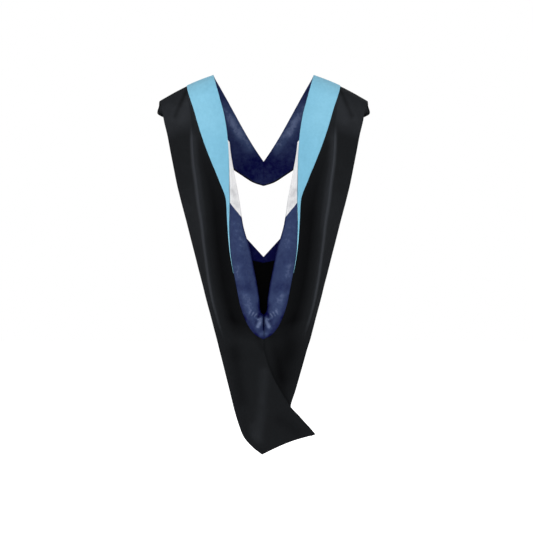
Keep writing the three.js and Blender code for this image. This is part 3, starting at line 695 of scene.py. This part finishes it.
def closed_sheet(name, middle, normals, wall, tone, mirrored, material):
    """Cloth of the given wall: the middle grid moved out and in by half the wall, joined round its rim. Its
    map holds the distances walked along the cloth, in metres, and its tone how light the cloth is there,
    painted light and shade included, on both faces alike or one after the other."""
    count = middle.shape[0] * middle.shape[1]
    half = 0.5 * np.broadcast_to(wall, middle.shape[:2])[..., None] * normals
    points = np.concatenate([(middle + half).reshape(-1, 3), (middle - half).reshape(-1, 3)]) * MM
    front = np.arange(count).reshape(middle.shape[:2])
    back = front + count

    def quads(*corners):
        """Faces of four corners each, from one array of point numbers for each corner."""
        return np.stack(corners, axis=-1).reshape(-1, 4)

    faces = np.concatenate([
        quads(front[:-1, :-1], front[:-1, 1:], front[1:, 1:], front[1:, :-1]),
        quads(back[:-1, :-1], back[1:, :-1], back[1:, 1:], back[:-1, 1:]),
        quads(front[:-1, 0], front[1:, 0], back[1:, 0], back[:-1, 0]),
        quads(front[1:, -1], front[:-1, -1], back[:-1, -1], back[1:, -1]),
        quads(front[0, 1:], front[0, :-1], back[0, :-1], back[0, 1:]),
        quads(front[-1, :-1], front[-1, 1:], back[-1, 1:], back[-1, :-1]),
    ])
    if mirrored:
        points[:, 0] *= -1
        faces = faces[:, ::-1]
    mesh = bpy.data.meshes.new(name)
    mesh.from_pydata(points, [], faces)
    walked = np.tile(lengths(middle).reshape(-1, 2) * MM, (2, 1))
    mesh.uv_layers.new(name="cloth").data.foreach_set("uv", walked[faces.ravel()].ravel())
    shade = mesh.attributes.new("tone", "FLOAT", "POINT")
    shade.data.foreach_set("value", np.broadcast_to(tone, (2, *middle.shape[:2])).ravel())
    mesh.polygons.foreach_set("use_smooth", np.ones(len(faces), bool))
    mesh.set_sharp_from_angle(angle=np.radians(SHARP_DEGREES))
    mesh.materials.append(material)
    piece = bpy.data.objects.new(name, mesh)
    bpy.context.scene.collection.objects.link(piece)
    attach(piece, "root")
    return piece


def rounded(count, share):
    """Wall shares across a grid of that many columns: one in the middle, falling as a quarter circle at both
    edges."""
    x = np.linspace(0, 1, count)
    near = np.clip(np.minimum(x, 1 - x) / share, 0, 1)
    return RIM_WALL + (1 - RIM_WALL) * np.sqrt(1 - (1 - near) ** 2)


def faded(count, first, last):
    """One up to the first of count columns, then falling to nought at the last by a smooth step."""
    x = np.clip((np.arange(count) - first) / (last - first), 0, 1)
    return 1 - x * x * (3 - 2 * x)


def behind(points):
    """One on the wearer's back and nought on the front, by the depth of the points."""
    return np.clip(-points[..., 1] / CREST_DEPTH, 0, 1)


def drape(grid, weight, *folds):
    """The folds and dents of the back panels, added towards the viewer by the given weight."""
    lift = strokes(grid, *folds) + waves(grid, SHELL_WAVES)
    moved = grid.copy()
    moved[..., 1] -= weight * behind(grid) * lift
    return moved


def shell_tone(side, fine, ends, ridge, off):
    """Tone of both faces of the shell, with painted light and shade. The outer layer has painted shade in the
    hollow, a painted highlight on the ridge, painted light beside it and painted light and shade of its
    folds. The layer against the wearer's back has one plain tone towards the wearer; its other face is left
    at tone nought, painted near black as shade."""
    column_steps = SHELL_STEPS[1]
    height = fine[:, CREASE * column_steps, 2][:, None]
    hollow = looked_up(HOLLOW_PAINTED_SHADE_BY_COLUMN, np.arange(fine.shape[1]) / column_steps)
    hollow = hollow * looked_up(HOLLOW_PAINTED_SHADE_BY_HEIGHT, height)
    glow = ends * np.exp(-((off / GLOW_WIDTH) ** 2)) * (off < 0) * looked_up(PAINTED_GLOW_BY_HEIGHT, height)
    # One on the outer layer, falling to nought round the fold: the inside of the bag is painted dark as
    # shade.
    outer_unshaded = faded(fine.shape[1], EDGE * column_steps, (EDGE + FOLD_STEPS) * column_steps)
    plain = looked_up(SHELL_TONE_WITH_PAINTED_LIGHT, height)
    tone = outer_unshaded * (plain - HOLLOW_PAINTED_SHADE * hollow + RIDGE_PAINTED_HIGHLIGHT * ridge + GLOW_PAINTED_LIGHT * glow)
    # Painted light and shade of the folds and dents, and painted shadow on the right side under the left
    # side's edge.
    marks = LEFT_TAIL_PAINTED_LIGHT_AND_SHADE if side == "left" else RIGHT_TAIL_PAINTED_SHADOW
    tone = tone + outer_unshaded * behind(fine) * strokes(fine, PANEL_PAINTED_LIGHT_AND_SHADE, marks)
    first, last = EDGE + FOLD_STEPS - 1, EDGE + FOLD_STEPS + 1
    against_back = 1 - faded(fine.shape[1], first * column_steps, last * column_steps)
    return np.stack([tone + BACKING_TONE * against_back, tone])


def shell_piece(side, rows, outer, normals, material):
    """The whole shell of one side, from under the trim round the outer fold to the seam against the wearer's
    back, with a pressed ridge along the crest of the long crease: its height times exp(-(off/width)^2)."""
    inner = inner_layer(rows, outer, normals)
    grid = np.concatenate([outer, inner], axis=1)
    first = np.linalg.norm(grid[:, 1] - grid[:, 0], axis=-1, keepdims=True)
    turn = np.where(np.arange(len(grid))[:, None] >= LAST_BACK, 0, np.minimum(NECK_TURN, first / 2))
    grid[:, 0] += turn * unit(grid[:, 1] - grid[:, 0])
    row_steps, column_steps = SHELL_STEPS
    fine = refined(grid, row_steps, column_steps)
    stations = np.linspace(0, len(grid) - 1, len(fine))
    plain = straight(grid[:, EDGE + 1 :], stations)
    inner_columns = flipped(finer(flipped(plain), column_steps))
    fold_end, inner_end = FOLD_STEPS - 1, FOLD_STEPS + INNER_STEPS - 1
    share = faded(inner_columns.shape[1], fold_end * column_steps, inner_end * column_steps)[:, None]
    past_edge = slice((EDGE + 1) * column_steps, None)
    fine[:, past_edge] = share * fine[:, past_edge] + (1 - share) * inner_columns
    crest = CREASE * column_steps
    across = lengths(fine)[..., 0]
    off = across - across[:, crest : crest + 1]
    on_outer = np.arange(fine.shape[1]) / column_steps < EDGE
    ends = looked_up(RIDGE_BY_HEIGHT, fine[:, crest, 2][:, None]) * behind(fine) * on_outer
    # The ridge is both pressed into the cloth and painted lighter as a highlight.
    ridge = ends * np.exp(-((off / RIDGE_WIDTH) ** 2))
    tone = shell_tone(side, fine, ends, ridge, off)
    tail_folds = LEFT_TAIL_FOLDS if side == "left" else RIGHT_TAIL_FOLDS
    fine = drape(fine, faded(fine.shape[1], crest, EDGE * column_steps), PANEL_FOLDS, tail_folds)
    fine[..., 1] -= RIDGE_HEIGHT * ridge
    return closed_sheet(f"black_shell_{side}", fine, normals_of(fine, True), SHELL_WALL, tone,
                        side == "right", material)


def trim_piece(side, outer, normals, material):
    """Velvet over the shell, from the centre front until it has narrowed to a piping beside the turned-out
    lining, where it stands off the shell in one direction across its width."""
    rows = slice(0, LAST_TRIM + 2)
    width = np.linalg.norm(outer[rows, TRIM_EDGE] - outer[rows, 0], axis=-1)[:, None, None]
    piping = np.clip(1 - width / PIPING_WIDTH, 0, 1)
    upright = unit((1 - piping) * normals[rows, UNDER_TRIM] + piping * normals[rows, :1])
    grid = outer[rows, UNDER_TRIM] + TRIM_HEIGHT * upright
    grid[-1] = grid[-2] + LAST_ROW_REACH * (grid[-1] - grid[-2])
    for row, narrowed in zip((-2, -1), LAST_ROWS_NARROWED):
        grid[row] += narrowed * (grid[row, :1] - grid[row])
    fine = drape(refined(grid, *TRIM_STEPS), 1, PANEL_FOLDS)
    ending = np.clip((len(fine) - np.arange(len(fine))) / ENDING_ROWS, ENDING_WALL, 1)[:, None]
    wall = TRIM_WALL * ending * rounded(fine.shape[1], RIM_SHARE)
    # Painted light and shade on the velvet, behind the crest.
    tone = TRIM_TONE + behind(fine - [0, CREST_DEPTH, 0]) * strokes(fine, TRIM_PAINTED_LIGHT_AND_SHADE)
    return closed_sheet(f"velvet_trim_{side}", fine, normals_of(fine, True), wall, tone,
                        side == "right", material)


def lining_pieces(side, rows, outer, normals, navy, white):
    """The lining of one side as three pieces: under the yoke, the chevron, and the rest round the opening.
    The seams are where height plus the slope times the distance across the cloth reaches a set drop."""
    points, across = lining_rows(rows, outer, normals)
    row_steps, column_steps = LINING_STEPS
    turned = slice(FIRST_ROLL, LAST_BACK + 1)
    under = ROLL_POINTS + 1
    sheet = refined(points[turned], row_steps, column_steps)
    walked = refined(across[turned][..., None], row_steps, column_steps)[..., 0]
    last = len(sheet) - 1.0

    def seam(drop):
        """How far down each column, in fine rows, the seam of that drop crosses it."""
        height = sheet[..., 2] + drop + CHEVRON_SLOPE * walked
        after = np.clip(np.argmax(height <= 0, axis=0), 1, int(last))
        high = np.take_along_axis(height, after[None] - 1, axis=0)[0]
        low = np.take_along_axis(height, after[None], axis=0)[0]
        share = np.clip(high / np.maximum(high - low, 1e-6), 0, 1)
        return np.where(height[0] <= 0, 0, after - 1 + share)

    def between(start, end, count):
        """That many rows of stations from the start to the end of each column."""
        return start + (end - start) * np.linspace(0, 1, count)[:, None]

    def shortened(grid, at_start, at_end):
        """The grid with its first or last row drawn back from the seam."""
        if at_start:
            grid[0] += SEAM_CLEAR * unit(grid[1] - grid[0])
        if at_end:
            grid[-1] += SEAM_CLEAR * unit(grid[-2] - grid[-1])
        return grid

    top, bottom = seam(CHEVRON_TOP), seam(CHEVRON_TOP + CHEVRON_HEIGHT)
    hidden = refined(points[: LAST_BACK + 1, under:], row_steps, column_steps)
    end = FIRST_ROLL * row_steps + top[under * column_steps :]
    upper = shortened(sampled(hidden, between(0 * end, end, YOKE_ROWS)), False, True)
    chevron = shortened(sampled(sheet, between(top, bottom, CHEVRON_ROWS)), True, True)
    cowl = shortened(sampled(sheet, between(bottom, last + 0 * bottom, COWL_ROWS)), True, False)
    front = faded(chevron.shape[1], CURL_MIDDLE * column_steps, ROLL_POINTS * column_steps)
    # The turned-out lining is painted darker as shade where it curls in at the opening's edge, down to nought
    # inside the curl.
    painted_edge_shade = faded(chevron.shape[1], LIP * column_steps, CURL_MIDDLE * column_steps)
    tones = {
        "satin_yoke": YOKE_SHADED_TONE + strokes(upper, YOKE_PAINTED_SHEEN_AND_SHADE),
        "satin_chevron": CHEVRON_TONE + front * strokes(chevron, CHEVRON_PAINTED_SHADE),
        "satin_cowl": COWL_TONE * painted_edge_shade + painted_edge_shade * strokes(cowl, COWL_PAINTED_LIGHT_AND_SHADE),
    }
    pieces = []
    for name, grid, material, slot in (
        ("satin_yoke", upper, navy, "navy_satin"),
        ("satin_chevron", chevron, white, "white_satin"),
        ("satin_cowl", cowl, navy, "navy_satin"),
    ):
        if name != "satin_yoke":
            grid[..., 1] -= front * (strokes(grid, COWL_FOLDS) + waves(grid, LINING_WAVES))
        pieces.append(closed_sheet(f"{name}_{side}", grid, normals_of(grid, name == "satin_yoke"),
                                   LINING_WALL, tones[name], side == "right", material))
    return pieces


def facing_piece(side, rows, outer, normals, material):
    """Strip along the V in the layer against the wearer's back, on the side seen through the opening."""
    whole = inner_layer(rows, outer, normals)
    strip = whole[FIRST_ROLL : NOTCH_ROW + 1, -2:]
    below = whole[NOTCH_ROW + 1, -2:]
    drop = FACING_DROP / np.linalg.norm(below[1] - strip[-1, 1])
    grid = np.concatenate([strip, (strip[-1] + drop * (below - strip[-1]))[None]])
    grid = grid - LINING_HEIGHT * normals_of(grid)
    row_steps, column_steps = FACING_STEPS
    grid = straight(grid, np.linspace(0, len(grid) - 1, row_steps * (len(grid) - 1) + 1))
    grid = flipped(straight(flipped(grid), np.linspace(0, 1, column_steps + 1)))
    return closed_sheet(f"satin_facing_{side}", grid, normals_of(grid), LINING_WALL, FACING_SHADED_TONE,
                        side == "right", material)


def material_nodes(name):
    """A new node material and its shader."""
    material = bpy.data.materials.new(name)
    material.use_nodes = True
    return material, material.node_tree.nodes["Principled BSDF"]


def node(material, kind, inputs=(), **settings):
    """A new node with its settings, and a value or a link for each named input."""
    made = material.node_tree.nodes.new(kind)
    for key, value in settings.items():
        setattr(made, key, value)
    for key, value in dict(inputs).items():
        if isinstance(value, bpy.types.NodeSocket):
            material.node_tree.links.new(value, made.inputs[key])
        else:
            made.inputs[key].default_value = value
    return made


def cloth_material(name, colours, cloudiness, patch, roughness, threads, thread_depth, crumple, crumple_depth,
                   shader_values):
    """Cloth: its tone, painted light and shade included, and soft clouds choose between three colours,
    threads run both ways along its map, and soft crumples and clouds vary its surface and roughness."""
    material, shader = material_nodes(name)
    link = material.node_tree.links.new
    where = node(material, "ShaderNodeTexCoord")
    tone = node(material, "ShaderNodeAttribute", attribute_name="tone")
    clouds = node(material, "ShaderNodeTexNoise",
                  {"Vector": where.outputs["Object"], "Scale": 1 / patch, "Detail": 5.0, "Roughness": 0.6,
                   "Distortion": 0.4})
    cloudy = node(material, "ShaderNodeMath", {0: clouds.outputs["Fac"], 1: 0.5}, operation="SUBTRACT")
    level = node(material, "ShaderNodeMath", {0: cloudy.outputs[0], 1: cloudiness, 2: tone.outputs["Fac"]},
                 operation="MULTIPLY_ADD")
    ramp = node(material, "ShaderNodeValToRGB", {"Fac": level.outputs[0]})
    ramp.color_ramp.elements.new(0.5)
    for element, colour, place in zip(ramp.color_ramp.elements, colours, (0, 0.5, 1)):
        element.position = place
        element.color = (*colour, 1)
    rough = node(material, "ShaderNodeMapRange",
                 {"Value": clouds.outputs["Fac"], "From Min": 0.3, "From Max": 0.7, "To Min": roughness[0],
                  "To Max": roughness[1]})
    bands = [node(material, "ShaderNodeTexWave",
                  {"Vector": where.outputs["UV"], "Scale": WAVE_TEXTURE_PERIOD / spacing, "Distortion": 0.6,
                   "Detail": 1.0}, bands_direction=direction)
             for direction, spacing in zip("XY", threads)]
    woven = node(material, "ShaderNodeMath", {0: bands[0].outputs["Fac"], 1: bands[1].outputs["Fac"]},
                 operation="MULTIPLY")
    fine = node(material, "ShaderNodeBump",
                {"Height": woven.outputs[0], "Strength": 0.5, "Distance": thread_depth})
    folds = node(material, "ShaderNodeTexNoise",
                 {"Vector": where.outputs["Object"], "Scale": 1 / crumple, "Detail": 3.0, "Roughness": 0.5})
    soft = node(material, "ShaderNodeBump",
                {"Height": folds.outputs["Fac"], "Strength": 0.6, "Distance": crumple_depth,
                 "Normal": fine.outputs["Normal"]})
    link(soft.outputs["Normal"], shader.inputs["Normal"])
    link(ramp.outputs["Color"], shader.inputs["Base Color"])
    link(rough.outputs["Result"], shader.inputs["Roughness"])
    for key, value in shader_values.items():
        shader.inputs[key].default_value = value
    return material


# Colours run from the darkest tone to the lightest. Patches, threads, crumples and depths are in metres.
black = cloth_material(
    "black_dress_cloth",
    colours=[(0.0004, 0.0004, 0.0006), (0.0084, 0.0092, 0.0104), (0.034, 0.037, 0.043)],
    cloudiness=0.12,
    patch=0.03,
    roughness=(0.75, 0.88),
    threads=(0.0007, 0.0006),
    thread_depth=0.00012,
    crumple=0.03,
    crumple_depth=0.0008,
    shader_values={
        "Sheen Weight": 0.01,
        "Sheen Roughness": 0.45,
        "Sheen Tint": (0.7, 0.76, 0.85, 1),
        "Specular IOR Level": 0.03,
    },
)
velvet = cloth_material(
    "light_blue_velvet",
    colours=[(0.144, 0.36, 0.495), (0.185, 0.441, 0.594), (0.245, 0.535, 0.695)],
    cloudiness=0.6,
    patch=0.008,
    roughness=(0.9, 1.0),
    threads=(0.0009, 0.0009),
    thread_depth=0.0002,
    crumple=0.012,
    crumple_depth=0.0005,
    shader_values={
        "Sheen Weight": 0.12,
        "Sheen Roughness": 0.4,
        "Sheen Tint": (0.75, 0.9, 1, 1),
        "Specular IOR Level": 0.05,
    },
)
navy = cloth_material(
    "navy_satin",
    colours=[(0.0003, 0.0006, 0.036), (0.029, 0.044, 0.108), (0.19, 0.235, 0.39)],
    cloudiness=0.46,
    patch=0.01,
    roughness=(0.4, 0.5),
    threads=(0.0004, 0.0003),
    thread_depth=0.00005,
    crumple=0.011,
    crumple_depth=0.0018,
    shader_values={
        "Sheen Weight": 0.01,
        "Sheen Roughness": 0.3,
        "Sheen Tint": (0.4, 0.55, 0.95, 1),
        "Specular IOR Level": 0.04,
    },
)
white = cloth_material(
    "white_satin",
    colours=[(0.37, 0.37, 0.39), (0.64, 0.64, 0.65), (0.82, 0.82, 0.83)],
    cloudiness=0.5,
    patch=0.008,
    roughness=(0.36, 0.5),
    threads=(0.0004, 0.0003),
    thread_depth=0.00005,
    crumple=0.008,
    crumple_depth=0.0018,
    shader_values={"Sheen Weight": 0.05, "Specular IOR Level": 0.3},
)

for side in ("left", "right"):
    rows = sections(side)
    outer = outer_layer(rows)
    normals = normals_of(outer, True)
    shell = shell_piece(side, rows, outer, normals, black)
    trim = trim_piece(side, outer, normals, velvet)
    yoke, chevron, cowl = lining_pieces(side, rows, outer, normals, navy, white)
    facing = facing_piece(side, rows, outer, normals, navy)
    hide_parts(f"shell_{side}")
    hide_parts(f"trim_{side}")
    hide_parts(f"yoke_lining_{side}")
    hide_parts(f"chevron_{side}")
    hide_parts(f"cowl_lining_{side}")
    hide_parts(f"notch_facing_{side}")


def stage_piece(name, points, faces, colour, glow):
    """A plain pale surface that isn't part of the object."""
    mesh = bpy.data.meshes.new(name)
    mesh.from_pydata(points, [], faces)
    mesh.polygons.foreach_set("use_smooth", np.ones(len(faces), bool))
    piece = bpy.data.objects.new(name, mesh)
    bpy.context.scene.collection.objects.link(piece)
    material, shader = material_nodes(name)
    shader.inputs["Base Color"].default_value = (colour, colour, colour, 1)
    shader.inputs["Roughness"].default_value = 0.9
    shader.inputs["Emission Color"].default_value = (1, 1, 1, 1)
    shader.inputs["Emission Strength"].default_value = glow
    mesh.materials.append(material)


# Floor: a wide flat square below the hood.
FLOOR_HEIGHT = -1.12
FLOOR_REACH = 9.0
corners = np.array([[-1, -1], [1, -1], [1, 1], [-1, 1]]) * FLOOR_REACH
stage_piece("studio_floor", xyz(corners[:, 0], corners[:, 1], FLOOR_HEIGHT), [[0, 1, 2, 3]], 0.95, 1.0)

# Camera: level, behind the wearer, looking along +Y at the photo's angle. One pixel of the square image shows
# PIXEL_SIZE at SCALE_DISTANCE.
CAMERA_PLACE = (0.0072, -3.58, -0.4677)
SCALE_DISTANCE = 3.5
PIXEL_SIZE = 0.0024
IMAGE_SIDE = 533
SENSOR_WIDTH = 36.0
camera = bpy.data.objects.new("camera", bpy.data.cameras.new("camera"))
camera.data.sensor_width = SENSOR_WIDTH
camera.data.lens = SENSOR_WIDTH * (SCALE_DISTANCE / PIXEL_SIZE) / IMAGE_SIDE
camera.location = CAMERA_PLACE
camera.rotation_euler = (np.pi / 2, 0, 0)
bpy.context.scene.collection.objects.link(camera)
bpy.context.scene.camera = camera


def area_light(name, place, aim, size, power):
    """A square soft light at a place, aimed at a point."""
    light = bpy.data.lights.new(name, "AREA")
    light.size = size
    light.energy = power
    made = bpy.data.objects.new(name, light)
    made.location = place
    towards = np.array(aim) - np.array(place)
    flat = np.hypot(towards[0], towards[1])
    made.rotation_euler = (np.arctan2(flat, -towards[2]), 0, np.arctan2(towards[1], towards[0]) - np.pi / 2)
    bpy.context.scene.collection.objects.link(made)


area_light("key", place=(-0.5, -3.0, 1.5), aim=(0, 0, -0.4), size=1.8, power=40)
area_light("left_side", place=(-2.3, -0.9, 0.3), aim=(0, 0, -0.4), size=1.4, power=19)
area_light("right_side", place=(2.3, -0.9, 0.3), aim=(0, 0, -0.4), size=1.4, power=19)
area_light("front", place=(0.6, 2.6, 1.2), aim=(0, 0, -0.3), size=1.8, power=24)
area_light("top", place=(0, -0.9, 2.2), aim=(0, 0, 0), size=1.6, power=16)

# World: white as the camera sees it, dimmer as it lights the hood.
world = bpy.data.worlds.new("studio")
bpy.context.scene.world = world
world.use_nodes = True
tree = world.node_tree
seen = tree.nodes["Background"]
seen.inputs["Color"].default_value = (1, 1, 1, 1)
seen.inputs["Strength"].default_value = 1.0
lit = tree.nodes.new("ShaderNodeBackground")
lit.inputs["Color"].default_value = (0.94, 0.97, 1, 1)
lit.inputs["Strength"].default_value = 0.12
ray = tree.nodes.new("ShaderNodeLightPath")
mix = tree.nodes.new("ShaderNodeMixShader")
tree.links.new(ray.outputs["Is Camera Ray"], mix.inputs[0])
tree.links.new(lit.outputs[0], mix.inputs[1])
tree.links.new(seen.outputs[0], mix.inputs[2])
tree.links.new(mix.outputs[0], tree.nodes["World Output"].inputs["Surface"])

view = bpy.context.scene.view_settings
view.view_transform = "Standard"
view.look = "None"
